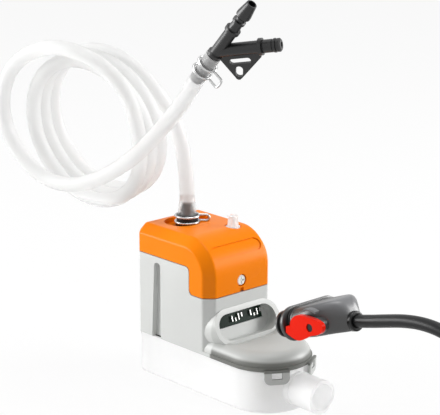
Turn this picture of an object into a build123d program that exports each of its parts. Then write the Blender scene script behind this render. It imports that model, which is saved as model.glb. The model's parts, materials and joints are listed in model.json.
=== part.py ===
from build123d import *
from math import cos, pi, radians, sin, sqrt, tan
import os

# Condensate pump: a clear reservoir, a grey tower with a piston pump inside, an orange hood,
# a discharge hose with an anti-siphon fitting, and a plug-in lead. Millimetres, +Z up.
# X runs along the pump towards the inlet and is 0 near the tower's front face.
# Z = 0 is the resting face under the reservoir. Y = 0 is the plane of symmetry.

# ---- driving sizes: outline of the pump ----
pump_width = 53.4
tower_back = -63.0
tower_front = 5.4
foot_length = 54.0
reservoir_height = 26.0
foot_height = 36.0
tower_height = 95.0
corner_slope = 5.6        # leg of the sloped corners of the tower and the hood
corner_blend = 2.4
seat_gap = 0.3            # where two pieces of the assembly lie against each other
running_gap = 0.08        # radial, round a shaft in its bore

# ---- reservoir ----
reservoir_inset = 0.7
reservoir_wall = 1.8
reservoir_edge = 3.0
rib_width = 1.2
rib_depth = 0.8
rib_count = 6
inlet_radius = 10.0
inlet_bore = 8.0
inlet_shoulder = 0.4      # ring at the stub's root that a hose stops against
inlet_shoulder_reach = 1.3
inlet_height = 13.8
inlet_reach = 19.0        # how far the stub stands out in front of the foot
gasket_thickness = 1.2
gasket_width = 1.4

# ---- body shell ----
shell_wall = 2.2
flange_thickness = 2.2
foot_step = 0.8           # the foot's side stands back from its flange
foot_round = 7.4
high_split = 77.5         # height of the joint with the hood along the sides
low_split = 60.9          # height of the joint with the hood at the front
split_x = -12.1           # where the joint steps up along the sides
split_round = 3.0
split_gap = 0.5
groove_depth = 3.4
groove_top_width = 5.6
groove_foot_width = 8.2
groove_front = -37.9
groove_top = 73.9
loop_width = 15.0
loop_drop = 9.5
loop_corner = 4.0
loop_thickness = 1.7
loop_window = (6.4, 4.0)
loop_window_drop = 0.2
loop_angle = 31.7

# ---- socket for the plug, in front of the tower ----
socket_x = 11.0
socket_z = 43.5
socket_tilt = 17.0        # the plug goes in downwards at this angle
socket_face_tilt = 27.0
socket_half_length = 22.5
socket_radius = 8.0
collar_wall = 3.2
socket_depth = 7.6
contact_window = 8.0
flange_room = 0.4         # round the plug's flange where it comes down on the foot

# ---- hood ----
hood_wall = 2.2
hood_front_round = 22.0
label_depth = 0.6
label_half_width = 19.5
label_radius = 4.2
label_tilt = 39.0
screw_y = 0.0
screw_z = 68.2
screw_hole = 3.7
screw_radius = 3.2
nozzle_x = -43.5
nozzle_well_radius = 11.0
nozzle_well_floor = 92.0
vent_x = -16.0
vent_y = 12.4

# ---- outlet nozzle and discharge hose ----
nozzle_radius = 3.0
nozzle_bore = 2.0
barb_radius = 3.9
nozzle_flange = 7.2
nozzle_seat = 93.4        # the hose's end stands on the flange at this height
nozzle_tip = 106.0
hose_radius = 4.5
hose_bore = 3.0
sleeve_radius = 6.4
sleeve_height = 5.0
clip_wire = 0.75

# ---- pump inside the tower ----
pump_x = nozzle_x
deck_thickness = 2.4
tube_radius = 4.6
piston_radius = 3.1
piston_length = 22.0
piston_z = 49.0
coil_radius = 10.6
coil_low = 46.0
coil_high = 72.0
yoke_half_width = 13.6
yoke_thickness = 1.8
spring_wire = 0.35
board_x = -7.6
board_half = 21.0
board_high = 58.0

# ---- float ----
float_x = 28.0
float_radius = 11.0
float_height = 8.4
guide_radius = 3.0
float_travel = 9.0

# ---- plug ----
plug_out = 53.5           # from the socket's face to the plug's flange, as it lies at rest
plug_half_length = 23.6
plug_radius = 9.9
plug_flange = 2.4
nose_half_length = 19.8
nose_radius = 6.2
nose_length = 6.6
pivot_out = 22.7
pivot_up = -1.6
ear_radius = 10.8
ear_face = -23.6
lever_thickness = 2.6
lever_hole = 2.35
cable_radius = 3.7
gland_out = 35.5
gland_up = -3.4
gland_radius = 5.8
gland_length = 4.6
gland_tilt = 14.0         # the lead leaves the plug this much above level


tower_length = tower_front - tower_back
tower_middle = (tower_back + tower_front) / 2


def outline(back, front, width, corner):
    """Flat outline with a half-round front end and sloped corners at the back."""
    radius = width / 2
    middle = front - radius
    face = Pos((back + middle) / 2, 0) * Rectangle(middle - back, width)
    face += Pos(middle, 0) * Circle(radius)
    if corner > 0:
        face = chamfer(face.vertices().group_by(Axis.X)[0], corner)
    return face


def prism(face, low, high):
    """Upright solid of a flat outline between two heights."""
    return extrude(Pos(0, 0, low) * face, high - low)


def rod(radius, length, place=Location(), bore=0.0):
    """Round rod or tube along the place's Z from its origin."""
    solid = Cylinder(radius, length, align=(Align.CENTER, Align.CENTER, Align.MIN))
    if bore > 0:
        solid -= Cylinder(bore, length, align=(Align.CENTER, Align.CENTER, Align.MIN))
    return place * solid


def turned(points, place=Location()):
    """Solid turned about Z from (radius, height) points."""
    return place * revolve(Plane.XZ * make_face(Polyline(*points, close=True)), Axis.Z)


def stadium(half_length, radius):
    """Flat obround face, long along Y of the drawing plane."""
    return SlotOverall(2 * half_length, 2 * radius, rotation=90)


def shrunk_slope(inset):
    """Leg of the sloped corners once the block is shrunk all round."""
    return corner_slope - (2 - sqrt(2)) * inset


def block(inset, low, high):
    """Tower and hood as one block with sloped corners, shrunk all round by an inset."""
    back, front = tower_back + inset, tower_front - inset
    body = Pos((back + front) / 2, 0, (low + high) / 2) * Box(front - back, pump_width - 2 * inset, high - low)
    front_top = body.edges().filter_by(Axis.Y).group_by(Axis.Z)[-1].sort_by(Axis.X)[-1]
    body = fillet(front_top, hood_front_round - inset)
    uprights = body.edges().filter_by(Axis.Z)
    sides = body.faces().sort_by(Axis.Y)
    rims = [e for e in (*sides[0].edges(), *sides[-1].edges())
            if e.center().Z > low + 0.01 and e not in uprights]
    back_top = body.edges().filter_by(Axis.Y).group_by(Axis.Z)[-1].sort_by(Axis.X)[0]
    body = chamfer([*uprights, *rims, back_top], shrunk_slope(inset))
    return fillet([e for e in body.edges() if e.center().Z > low + 0.01], corner_blend)


def below_split(drop):
    """Everything under the joint between shell and hood, lowered by drop."""
    back, front, floor = tower_back - 20, 20, -20
    step = split_x - drop
    points = [(back, floor), (back, high_split - drop), (step, high_split - drop),
              (step, low_split - drop), (front, low_split - drop), (front, floor)]
    face = make_face(Polyline(*points, close=True))
    corners = [v for v in face.vertices() if abs(v.X - step) < 0.01]
    face = fillet(corners, split_round)
    return extrude(Plane.XZ * face, pump_width, both=True)


# ---- frames used by several pieces ----
tilt = radians(socket_tilt)
socket_out = Vector(cos(tilt), 0, sin(tilt))
socket_up = Vector(-sin(tilt), 0, cos(tilt))
socket_origin = Vector(socket_x, 0, socket_z)


def socket_plane(out, up=0.0, across=0.0):
    """Plane across the socket's axis; its X is up, its Y is across the pump, its Z is outwards."""
    origin = socket_origin + socket_out * out + socket_up * up + Vector(0, across, 0)
    return Plane(origin=origin, x_dir=-socket_up, z_dir=socket_out)


parts = {}

# ---- reservoir ----
tank_back = tower_back + reservoir_inset
tank_front = foot_length - reservoir_inset
tank_width = pump_width - 2 * reservoir_inset
tank_corner = shrunk_slope(reservoir_inset)
tank_inner_corner = shrunk_slope(reservoir_inset + reservoir_wall)
tank = prism(outline(tank_back, tank_front, tank_width, tank_corner), 0, reservoir_height)
tank = fillet(tank.faces().sort_by(Axis.Z)[0].edges(), reservoir_edge)
stub_end = foot_length + inlet_reach
stub_place = Pos(foot_length - 12, 0, inlet_height) * Rot(0, 90, 0)
stub_length = stub_end - foot_length + 12
tank += rod(inlet_radius, stub_length, stub_place)
tank += rod(inlet_radius + inlet_shoulder, 12 + inlet_shoulder_reach, stub_place)
tank_inside = prism(outline(tank_back + reservoir_wall, tank_front - reservoir_wall,
                            tank_width - 2 * reservoir_wall, tank_inner_corner),
                    reservoir_wall, reservoir_height + 1)
tank -= tank_inside
tank -= rod(inlet_bore, stub_length + 10, Pos(foot_length - 20, 0, inlet_height) * Rot(0, 90, 0))
rib_pitch = (tower_length - 22) / (rib_count - 1)
for side in (-1, 1):
    wall_y = side * (tank_width / 2 - reservoir_wall - rib_depth / 2 + 0.1)
    for i in range(rib_count):
        rib_x = tank_back + 11 + i * rib_pitch
        rib = Pos(rib_x, wall_y, (reservoir_height - 4) / 2 + 1) * Box(
            rib_width, rib_depth + 0.2, reservoir_height - 6)
        tank += rib
loop_low = reservoir_height + seat_gap + flange_thickness - loop_drop
window_high = reservoir_height + seat_gap - loop_window_drop
loop_places = []
for angle in (-loop_angle, loop_angle):
    loop_places.append(Pos(foot_length - pump_width / 2, 0, 0) * Rot(0, 0, angle)
                       * Pos(pump_width / 2, 0, 0))
for loop_y in (-13.0, 13.0):
    loop_places.append(Pos(tower_back, loop_y, 0) * Rot(0, 0, 180))
for place in loop_places:
    nib = Pos(-0.2, 0, window_high - loop_window[1] / 2) * Box(
        1.8, loop_window[0] - 2 * seat_gap, loop_window[1] - 2 * seat_gap)
    tank += place * nib
parts["reservoir"] = tank

gasket_low = reservoir_height - gasket_thickness
groove_outline = outline(tank_back + reservoir_wall, tank_front - reservoir_wall,
                         tank_width - 2 * reservoir_wall, tank_inner_corner)
gasket_outline = offset(groove_outline, -seat_gap / 3)
gasket_ring = gasket_outline - offset(gasket_outline, -gasket_width)
parts["reservoir_gasket"] = prism(gasket_ring, gasket_low, reservoir_height)

# ---- body shell: tower, foot, collar and socket ----
rim = reservoir_height + seat_gap
tower_block = block(0, rim, tower_height)
shell = tower_block & below_split(0)
foot_back = tower_middle
flange = prism(outline(foot_back, foot_length, pump_width, 0), rim, rim + flange_thickness)
foot = prism(outline(foot_back, foot_length - foot_step, pump_width - 2 * foot_step, 0), rim, foot_height)
foot_top = [e for e in foot.faces().sort_by(Axis.Z)[-1].edges() if e.center().X > foot_back + 1]
foot = fillet(foot_top, foot_round)
collar_half = socket_half_length + collar_wall
collar_radius = socket_radius + collar_wall
collar = extrude(socket_plane(-24) * stadium(collar_half, collar_radius), 40)
face_tilt = radians(socket_face_tilt)
face_plane = Plane(origin=socket_origin, x_dir=(0, 1, 0), z_dir=(cos(face_tilt), 0, sin(face_tilt)))
collar = split(collar, face_plane, keep=Keep.BOTTOM)
collar_room = Pos(-4, 0, 30) * Box(60, pump_width, 80, align=(Align.CENTER, Align.CENTER, Align.MIN))
collar = collar & collar_room
shell = shell + flange + foot + collar

tower_room = block(shell_wall, rim - 6, tower_height - shell_wall)
tower_room = tower_room & below_split(-1)
foot_room = prism(outline(foot_back, foot_length - foot_step - shell_wall,
                          pump_width - 2 * (foot_step + shell_wall), 0), rim - 6, foot_height - shell_wall)
foot_room_top = [e for e in foot_room.faces().sort_by(Axis.Z)[-1].edges() if e.center().X > foot_back + 1]
foot_room = fillet(foot_room_top, foot_round - shell_wall)
socket_floor_guard = extrude(socket_plane(-socket_depth - shell_wall) * stadium(collar_half, collar_radius), 30)
foot_room -= socket_floor_guard
shell -= tower_room - socket_floor_guard
shell -= foot_room
shell -= extrude(socket_plane(-socket_depth) * stadium(socket_half_length, socket_radius), 60)
flange_seat = stadium(plug_half_length + flange_room, plug_radius + flange_room)
shell -= extrude(socket_plane(1.75) * flange_seat, 40)
window_up = socket_radius - 0.4 - contact_window / 2
window_face = Pos(-window_up, 0) * Rectangle(contact_window, 2 * socket_half_length - 8)
shell -= extrude(socket_plane(-socket_depth - shell_wall - 14) * window_face, 20)
for side in (-1, 1):
    back_foot = groove_front - groove_foot_width
    back_top = groove_front - groove_top_width
    cut = make_face(Polyline((groove_front, rim - 1), (groove_front, groove_top), (back_top, groove_top),
                             (back_foot, rim - 1), close=True))
    cut = fillet(cut.vertices().group_by(Axis.Y)[-1], groove_top_width * 0.45)
    tool = extrude(Plane.XZ * cut, groove_depth, both=True)
    lining = extrude(Plane.XZ * offset(cut, 1.6), groove_depth + 1.6, both=True)
    lining &= Pos(tower_middle, 0, rim) * Box(tower_length, 200, 60, align=(Align.CENTER, Align.CENTER, Align.MIN))
    wall_y = side * pump_width / 2
    shell += (Pos(0, wall_y, 0) * lining) & tower_block & below_split(0)
    shell -= Pos(0, wall_y, 0) * tool
for place in loop_places:
    tab = Pos(-loop_thickness / 2 + 1.4, 0, (rim + loop_low) / 2 + 0.5) * Box(
        loop_thickness, loop_width, rim - loop_low + 1)
    tab = fillet(tab.edges().filter_by(Axis.X).group_by(Axis.Z)[0], loop_corner)
    tab -= Pos(0, 0, window_high - loop_window[1] / 2) * Box(6, *loop_window)
    shell += place * tab
parts["body_shell"] = shell


# ---- hood ----
hood = tower_block - below_split(-split_gap)
hood_room = block(hood_wall, rim, tower_height - hood_wall)
hood -= hood_room
label_center = Pos(tower_front - hood_front_round, 0, tower_height - hood_front_round)
label_axis = label_center * Rot(90, 0, 0)
label_band = label_axis * (Cylinder(hood_front_round + 1, pump_width)
                           - Cylinder(hood_front_round - label_depth, pump_width))
label_plane = Plane(label_center.position, x_dir=(0, 1, 0),
                    z_dir=(cos(radians(label_tilt)), 0, sin(radians(label_tilt))))
hood -= label_band & extrude(label_plane * SlotOverall(2 * label_half_width, 2 * label_radius), 30)
well_length = nozzle_well_radius * 2 + 8
well_face = Rot(0, 0, 90) * SlotOverall(well_length, 2 * nozzle_well_radius)
well_place = Pos(nozzle_x, 0, nozzle_well_floor)
well_lining = well_place * Pos(0, 0, -hood_wall) * extrude(
    offset(well_face, hood_wall), tower_height - nozzle_well_floor + hood_wall - 1.0)
hood += well_lining & block(0, rim, tower_height)
hood -= well_place * extrude(well_face, 10)
hood -= rod(nozzle_radius + 2.2, 20, Pos(nozzle_x, 0, nozzle_well_floor - 10))
vent_well = Pos(vent_x, vent_y, tower_height - 1.6)
hood -= rod(5.0, 10, vent_well)
hood += rod(5.0 + 1.4, 1.6, Pos(vent_x, vent_y, tower_height - 1.6 - 1.6))
hood -= rod(2.0, 20, Pos(vent_x, vent_y, tower_height - 12))
screw_axis = Pos(tower_front - 12, screw_y, screw_z) * Rot(0, 90, 0)
hood += rod(screw_hole + 1.6, 11, screw_axis)
hood -= rod(screw_hole, 14, Pos(tower_front - 2.6, screw_y, screw_z) * Rot(0, 90, 0))
hood -= rod(1.9, 20, screw_axis * Pos(0, 0, -2))
hood -= Pos(tower_front, screw_y, low_split + split_gap) * Box(2.4, 2.8, 4.6)
parts["top_cover"] = hood

screw = turned([(0, 0), (screw_radius, 0), (screw_radius, 1.4), (screw_radius - 0.5, 1.9), (0, 1.9)])
screw += rod(1.6, 9, Pos(0, 0, -9))
screw -= Pos(0, 0, 1.9) * Box(0.9, 4.4, 1.6)
screw -= Pos(0, 0, 1.9) * Box(4.4, 0.9, 1.6)
parts["cover_screw"] = Pos(tower_front - 2.3, screw_y, screw_z) * Rot(0, 90, 0) * screw

# ---- vent stub ----
vent = turned([(1.2, -6), (1.9, -6), (1.9, 0.2), (4.4, 0.2), (4.4, 1.2), (3.4, 1.5), (3.0, 6.6),
               (3.3, 6.9), (3.3, 7.8), (1.9, 7.8), (1.9, 1.2), (1.2, 0)])
parts["vent_stub"] = Pos(vent_x, vent_y, tower_height - 1.6) * vent

# ---- outlet nozzle ----
tip = nozzle_tip - nozzle_seat
nozzle = turned([
    (nozzle_bore, -9), (nozzle_radius + 1.2, -9), (nozzle_radius + 1.2, -7.4), (nozzle_radius + 0.4, -7.4),
    (nozzle_radius + 0.4, -5.8), (nozzle_radius + 1.9, -5.8), (nozzle_radius + 1.9, -1.2),
    (nozzle_flange, -1.2), (nozzle_flange, 0), (nozzle_radius, 0), (nozzle_radius, 2.6),
    (barb_radius, 3.2), (nozzle_radius, 6.4), (nozzle_radius, 7.0), (barb_radius, 7.6),
    (nozzle_radius - 0.3, tip - 0.6), (nozzle_radius - 0.7, tip), (nozzle_bore, tip)])
parts["outlet_nozzle"] = Pos(nozzle_x, 0, nozzle_seat) * nozzle
seal_z = nozzle_seat - 6.6
parts["nozzle_seal"] = Pos(pump_x, 0, seal_z) * Torus(nozzle_radius + 0.4 + 0.7, 0.7)


def ear_wire(radius, reach, width):
    """Wire loop that stands out from a clip's two rings, as straight legs and a round end."""
    path = Polyline((radius, -width / 2), (radius + reach, -width / 2))
    bend = JernArc(start=(radius + reach, -width / 2), tangent=(1, 0), radius=width / 2, arc_size=180)
    back = Polyline((radius + reach, width / 2), (radius, width / 2))
    wire = Wire([*path.edges(), bend.edge(), *back.edges()])
    section = Plane(origin=(radius, -width / 2, 0), z_dir=(1, 0, 0)) * Circle(clip_wire)
    loop = sweep(section, path=wire)
    return Rot(90, 0, 0) * loop


def spring_clip(radius, spacing, place, ear_turns, rise=0.0):
    """Double-wire spring clip: two rings round the hose, joined by loops to squeeze."""
    ring_radius = radius + clip_wire + 0.1
    clip = Torus(ring_radius, clip_wire) + Pos(0, 0, spacing) * Torus(ring_radius, clip_wire)
    for turn in ear_turns:
        clip += Rot(0, 0, turn) * Pos(0, 0, spacing / 2 + rise) * ear_wire(ring_radius, 4.4, spacing)
    return place * clip


# ---- discharge hose: stem, coil and end ----
coil_center = Vector(-86.7, -22.8, 155.1)
coil_yaw = 9.9
coil_lean = -11.1
turn_radius = 44.2
turn_pitch = 9.2
coil_turns = 3
coil_plane = Plane(coil_center, x_dir=(cos(radians(coil_yaw)), sin(radians(coil_yaw)), 0),
                   z_dir=(sin(radians(coil_yaw)) * cos(radians(coil_lean)),
                          -cos(radians(coil_yaw)) * cos(radians(coil_lean)), sin(radians(coil_lean))))


def in_coil(along, up, out):
    """Point given in the coil's own plane, out being towards its last turn."""
    return tuple(coil_plane.from_local_coords(Vector(along, up, out)))


def cord_path(points, label):
    """Straight runs joined by tangent arcs, each as large as its two runs allow."""
    spots = [Vector(*p) for p in points]
    radii = []
    for a, b, c in zip(spots, spots[1:], spots[2:]):
        turn = radians((b - a).get_angle(c - b))
        run = min((b - a).length, (c - b).length)
        radii.append(0.45 * run / tan(turn / 2))
    print(label, "radii", [round(r) for r in radii])
    return FilletPolyline(*spots, radius=radii)


def cord(points, radius, label, bore=0.0):
    """Round cord, or hose with a bore, along a path; its volume is checked against its length."""
    path = cord_path(points, label)
    start, away = Vector(*points[0]), Vector(*points[1]) - Vector(*points[0])
    section = Circle(radius) - Circle(bore) if bore else Circle(radius)
    solid = sweep(Plane(origin=start, z_dir=away) * section, path=path)
    expected = path.length * pi * (radius ** 2 - bore ** 2)
    print(label, "length", round(path.length, 1), "volume ratio", round(solid.volume / expected, 4))
    return solid


hose_stem_points = [(nozzle_x, 0, nozzle_seat + 0.05), (-43.4, 0, 111), (-42.3, -2, 126), (-41.6, -5, 141),
                    (-42.8, -9, 155), (-46.6, -13.5, 168), (-54, -19, 180)]
hose_end_points = [in_coil(44.5, -2, 27), in_coil(46.5, 16, 27.5), in_coil(41, 34, 28), in_coil(27, 48, 29),
                   in_coil(7, 55, 30), in_coil(-14, 55, 31), in_coil(-34, 47.5, 32.5),
                   in_coil(-49, 33.5, 34), in_coil(-56, 15, 35.5), in_coil(-54.5, -3, 36.5),
                   in_coil(-45, -19, 37), in_coil(-29, -29.5, 37.5), in_coil(-9, -31, 38),
                   in_coil(12, -25, 38), in_coil(33, -14, 38.2), in_coil(54, 0.5, 38.5),
                   in_coil(74, 18.5, 39), in_coil(92, 36, 39)]
fitting_run = Vector(0.6712, 0.0429, 0.7409)
fitting_origin = Vector(42.0, -52.8, 216.9)
hose_mouth = fitting_origin - fitting_run * 3.6
hose_end_points += [tuple(fitting_origin - fitting_run * 22), tuple(hose_mouth)]
# ---- anti-siphon fitting: runs along one axis, with a branch at 45 degrees ----
fitting_run = fitting_run.normalized()
fitting_branch = Vector(0.860, 0.489, 0.147).normalized()
fitting_plane = Plane(fitting_origin, x_dir=fitting_run, z_dir=fitting_run.cross(fitting_branch))
along_run = fitting_plane.location * Rot(0, 90, 0)
along_branch = fitting_plane.location * Rot(0, 0, 45) * Rot(0, 90, 0)
run_points = [(0, -24), (3.1, -24), (3.9, -20), (3.9, -19.6), (3.0, -19), (3.0, -14), (3.8, -10.6),
              (3.0, -10), (3.0, -3.3), (4.3, -3.3), (4.3, -1.6), (3.5, -1.2), (3.5, 15.6), (4.4, 15.6),
              (4.4, 17.6), (3.3, 17.6), (3.0, 22.6), (3.6, 22.6), (3.6, 24.6), (2.7, 24.6), (2.7, 28.2),
              (3.25, 28.2), (2.6, 36.9), (0, 36.9)]
branch_points = [(0, 1), (3.55, 1), (3.55, 23.4), (4.7, 23.7), (4.7, 25.6), (3.3, 25.6), (3.3, 27.6),
                 (0, 27.6)]
fitting = turned(run_points, along_run) + turned(branch_points, along_branch)
lug_flat = fitting_plane.location * Rot(0, 0, 45)
lug_face = make_face(Polyline((-2.5, 0.5), (0.4, 7), (2.6, 20.5), (8.8, 20.5), (25.2, 6), (25.2, 0.5),
                              close=True))
lug_face = fillet([v for v in lug_face.vertices() if v.Y > 15], 2.9)
lug_hole = Pos(5.9, 18.0) * Rot(0, 0, -8) * SlotOverall(5.4, 3.4, rotation=90)
lug_window = make_face(Polyline((3.2, 5.8), (5.0, 12.8), (9.2, 12.8), (21.0, 5.8), close=True))
lug_window = fillet(lug_window.vertices(), 1.4)
lug = Pos(0, 0, -1.1) * extrude(lug_face - lug_hole - lug_window, 2.2)
fitting += lug_flat * lug
web = make_face(Polyline((1, 0), (11, 2.5), (9, 8.5), (1, 3), close=True))
fitting += fitting_plane.location * Pos(0, 0, -1.6) * extrude(web, 3.2)
fitting -= rod(1.9, 63, along_run * Pos(0, 0, -25))
fitting -= rod(2.1, 14, along_run * Pos(0, 0, 24))
fitting -= turned([(0, 0.5), (1.3, 0.5), (1.3, 8), (2.6, 9.6), (2.6, 28), (0, 28)], along_branch)
parts["fitting_body"] = fitting
cap_points = [(0.8, 24.0), (2.3, 24.0), (2.3, 27.9), (3.5, 27.9), (3.5, 31.4), (3.1, 31.4), (3.1, 32.4),
              (3.5, 32.4), (3.5, 33.4), (3.1, 33.4), (3.1, 34.2), (3.3, 34.2), (2.7, 36.3), (1.9, 37.0),
              (0.8, 37.0)]
parts["fitting_cap"] = turned(cap_points, along_branch)
parts["siphon_valve"] = turned([(0, 10.2), (1.5, 10.2), (2.3, 11.4), (2.3, 13.2), (0.9, 13.2), (0.9, 17.5),
                                (0, 17.5)], along_branch)


def spring(radius, low, high, turns, place):
    """Coil spring of round wire round Z between two heights."""
    path = Helix(pitch=(high - low) / turns, height=high - low, radius=radius)
    start = Plane(origin=path @ 0, z_dir=path % 0)
    return place * Pos(0, 0, low) * sweep(start * Circle(spring_wire), path=path, is_frenet=True)


parts["siphon_spring"] = spring(1.7, 13.8, 23.4, 4, along_branch)

hose_stem = cord(hose_stem_points, hose_radius, "hose stem", hose_bore)
hose_end = cord(hose_end_points, hose_radius, "hose end", hose_bore)
parts["hose_stem"] = hose_stem
band = Cylinder(turn_radius + hose_radius, coil_turns * turn_pitch) - Cylinder(
    turn_radius - hose_radius, coil_turns * turn_pitch)
band = coil_plane * Pos(0, 0, coil_turns * turn_pitch / 2 - 1) * band
band -= sweep(Plane(origin=hose_stem_points[0]) * Circle(hose_radius), path=cord_path(hose_stem_points, "stem"))
end_start = Vector(*hose_end_points[0])
band -= sweep(Plane(origin=end_start, z_dir=Vector(*hose_end_points[1]) - end_start) * Circle(hose_radius),
              path=cord_path(hose_end_points, "end"))
parts["hose_coil"] = band
parts["hose_end"] = hose_end
sleeve_place = Pos(nozzle_x, 0, nozzle_seat + seat_gap)
parts["nozzle_sleeve"] = rod(sleeve_radius, sleeve_height, sleeve_place, hose_radius + seat_gap)
nozzle_clip_place = Pos(nozzle_x, 0, nozzle_seat + seat_gap + 0.8)
parts["nozzle_clip"] = spring_clip(sleeve_radius, 3.6, nozzle_clip_place, (42,), 0.7)
parts["fitting_clip"] = spring_clip(hose_radius, 6.0, along_run * Pos(0, 0, -16.8), (60, 240))

# ---- pump inside the tower ----
deck_low = rim + 0.7
deck_top = deck_low + deck_thickness
deck = prism(outline(tower_back + shell_wall + seat_gap, foot_length - foot_step - shell_wall - seat_gap,
                     pump_width - 2 * (foot_step + shell_wall + seat_gap), shrunk_slope(shell_wall + seat_gap)), deck_low, deck_top)
deck -= rod(6.0, 20, Pos(pump_x, 0, 20))
for side in (-1, 1):
    deck -= Pos(groove_front - groove_foot_width / 2, side * pump_width / 2, 30) * Box(
        groove_foot_width + 2 * (1.6 + seat_gap), 2 * (groove_depth + 1.6 + seat_gap), 20)
guide_low = reservoir_wall + seat_gap + 0.1
deck += rod(guide_radius, deck_low - guide_low + 0.5, Pos(float_x, 0, guide_low))
deck += rod(guide_radius + 1.2, 1.2, Pos(float_x, 0, guide_low))
deck += rod(guide_radius + 2.5, 2.0, Pos(float_x, 0, deck_low - 2.0))
deck -= rod(1.9, 40, Pos(float_x, 0, guide_low + 2.4))
for side in (-1, 1):
    post = Box(5.2, 3.0, 6.0, align=(Align.CENTER, Align.CENTER, Align.MIN))
    post -= Pos(0, -side * 0.9, 0) * Box(1.6 + 2 * seat_gap, 1.8, 6.0, align=(Align.CENTER, Align.CENTER, Align.MIN))
    deck += Pos(board_x, side * (board_half + 0.3), deck_top) * post
parts["pump_deck"] = deck
sensor = rod(1.5, 22, Pos(float_x, 0, guide_low + 3.0)) + rod(1.1, 5, Pos(float_x, 0, guide_low + 24))
parts["level_sensor"] = sensor

float_low = guide_low + 1.2 + seat_gap
ring = rod(float_radius, float_height, Pos(float_x, 0, float_low), guide_radius + running_gap)
ring = fillet(ring.edges().filter_by(GeomType.CIRCLE).group_by(SortBy.RADIUS)[-1], 1.2)
magnet_low = float_low + float_height - 3.0
ring -= rod(6.0, 4, Pos(float_x, 0, magnet_low), guide_radius + 0.9)
parts["float_ring"] = ring
parts["float_magnet"] = rod(5.8, 2.4, Pos(float_x, 0, magnet_low + 0.2), guide_radius + 1.1)

strainer = rod(6.4, 10, Pos(pump_x, 0, reservoir_wall + 0.4), 5.0)
strainer += rod(6.4, 1.2, Pos(pump_x, 0, reservoir_wall + 10.4), 3.3)
for i in range(8):
    slot_place = Pos(pump_x, 0, reservoir_wall + 4.6) * Rot(0, 0, 22.5 + 45 * i) * Pos(5.5, 0, 0)
    strainer -= slot_place * Box(5, 1.6, 6.2)
parts["strainer"] = strainer
suction_low = reservoir_wall + 8.4
parts["suction_tube"] = turned([(2.0, suction_low), (3.0, suction_low), (3.0, 13.0), (3.0, 33.6), (5.4, 33.6),
                                (5.4, 35.2), (2.0, 35.2)], Pos(pump_x, 0, 0))
bore = piston_radius + running_gap
parts["pump_tube"] = turned([
    (1.4, 35.5), (tube_radius, 35.5), (tube_radius, 84.0), (2.3, 84.0), (2.3, 79.0), (1.4, 79.0), (1.4, 77.4),
    (bore, 77.4), (bore, 42.0), (2.3, 42.0), (2.3, 37.4), (1.4, 37.4)], Pos(pump_x, 0, 0))
valve_height = sqrt(2.0 ** 2 - 1.4 ** 2)
parts["inlet_valve"] = Pos(pump_x, 0, 37.4 + valve_height + 0.05) * Sphere(2.0)
parts["outlet_valve"] = Pos(pump_x, 0, 79.0 + valve_height + 0.05) * Sphere(2.0)
piston = rod(piston_radius, piston_length, Pos(pump_x, 0, piston_z), 1.3)
parts["piston"] = piston
parts["lower_spring"] = spring(2.4, 42.0 + spring_wire, piston_z - spring_wire, 4, Pos(pump_x, 0, 0))
parts["upper_spring"] = spring(2.4, piston_z + piston_length + spring_wire, 77.4 - spring_wire, 4,
                               Pos(pump_x, 0, 0))
bobbin_bore = tube_radius + seat_gap
parts["coil_bobbin"] = turned([
    (bobbin_bore, coil_low - 1.5), (coil_radius, coil_low - 1.5), (coil_radius, coil_low), (6.0, coil_low),
    (6.0, coil_high), (coil_radius, coil_high), (coil_radius, coil_high + 1.5), (bobbin_bore, coil_high + 1.5)],
    Pos(pump_x, 0, 0))
parts["coil_winding"] = rod(coil_radius - 0.4, coil_high - coil_low - 0.4, Pos(pump_x, 0, coil_low + 0.2), 6.2)
yoke_low = coil_low - 1.8 - yoke_thickness
yoke_high = coil_high + 1.8 + yoke_thickness
yoke = Pos(pump_x, 0, (yoke_low + yoke_high) / 2) * Box(
    16, 2 * yoke_half_width, yoke_high - yoke_low)
yoke -= Pos(pump_x, 0, (yoke_low + yoke_high) / 2) * Box(
    20, 2 * (yoke_half_width - yoke_thickness), yoke_high - yoke_low - 2 * yoke_thickness)
yoke -= rod(bobbin_bore, 60, Pos(pump_x, 0, 35))
parts["coil_yoke"] = yoke
parts["lower_damper"] = turned([
    (5.7, deck_top + 0.3), (9.5, deck_top + 0.3), (9.5, 32), (7.4, 33.5), (9.0, 35.5), (9.0, yoke_low - 0.3),
    (bobbin_bore, yoke_low - 0.3), (bobbin_bore, 36.5), (5.7, 36.0)], Pos(pump_x, 0, 0))
parts["upper_damper"] = turned([
    (bobbin_bore, yoke_high + 0.3), (9.0, yoke_high + 0.3), (9.0, 79), (7.4, 80.4), (8.6, 82), (8.6, 84.0),
    (bobbin_bore, 84.0)], Pos(pump_x, 0, 0))

# ---- boards ----
board_low = deck_top + seat_gap
parts["control_board"] = Pos(board_x, 0, (board_low + board_high) / 2) * Box(
    1.6, 2 * board_half, board_high - board_low)
bits = Pos(board_x - 1.2, 0, 44.5) * Box(0.4, 39, 25)
bits += Pos(board_x - 6.4, -12, 47) * Box(10.4, 12, 15)
bits += Pos(board_x - 1.3, 5, 39) * Rot(0, -90, 0) * Cylinder(5, 9, align=(Align.CENTER, Align.CENTER, Align.MIN))
bits += Pos(board_x - 3.4, 15, 48) * Box(4.4, 6, 12)
bits += Pos(board_x - 2.4, 3, 52) * Box(2.4, 8, 5)
parts["board_parts"] = bits

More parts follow.
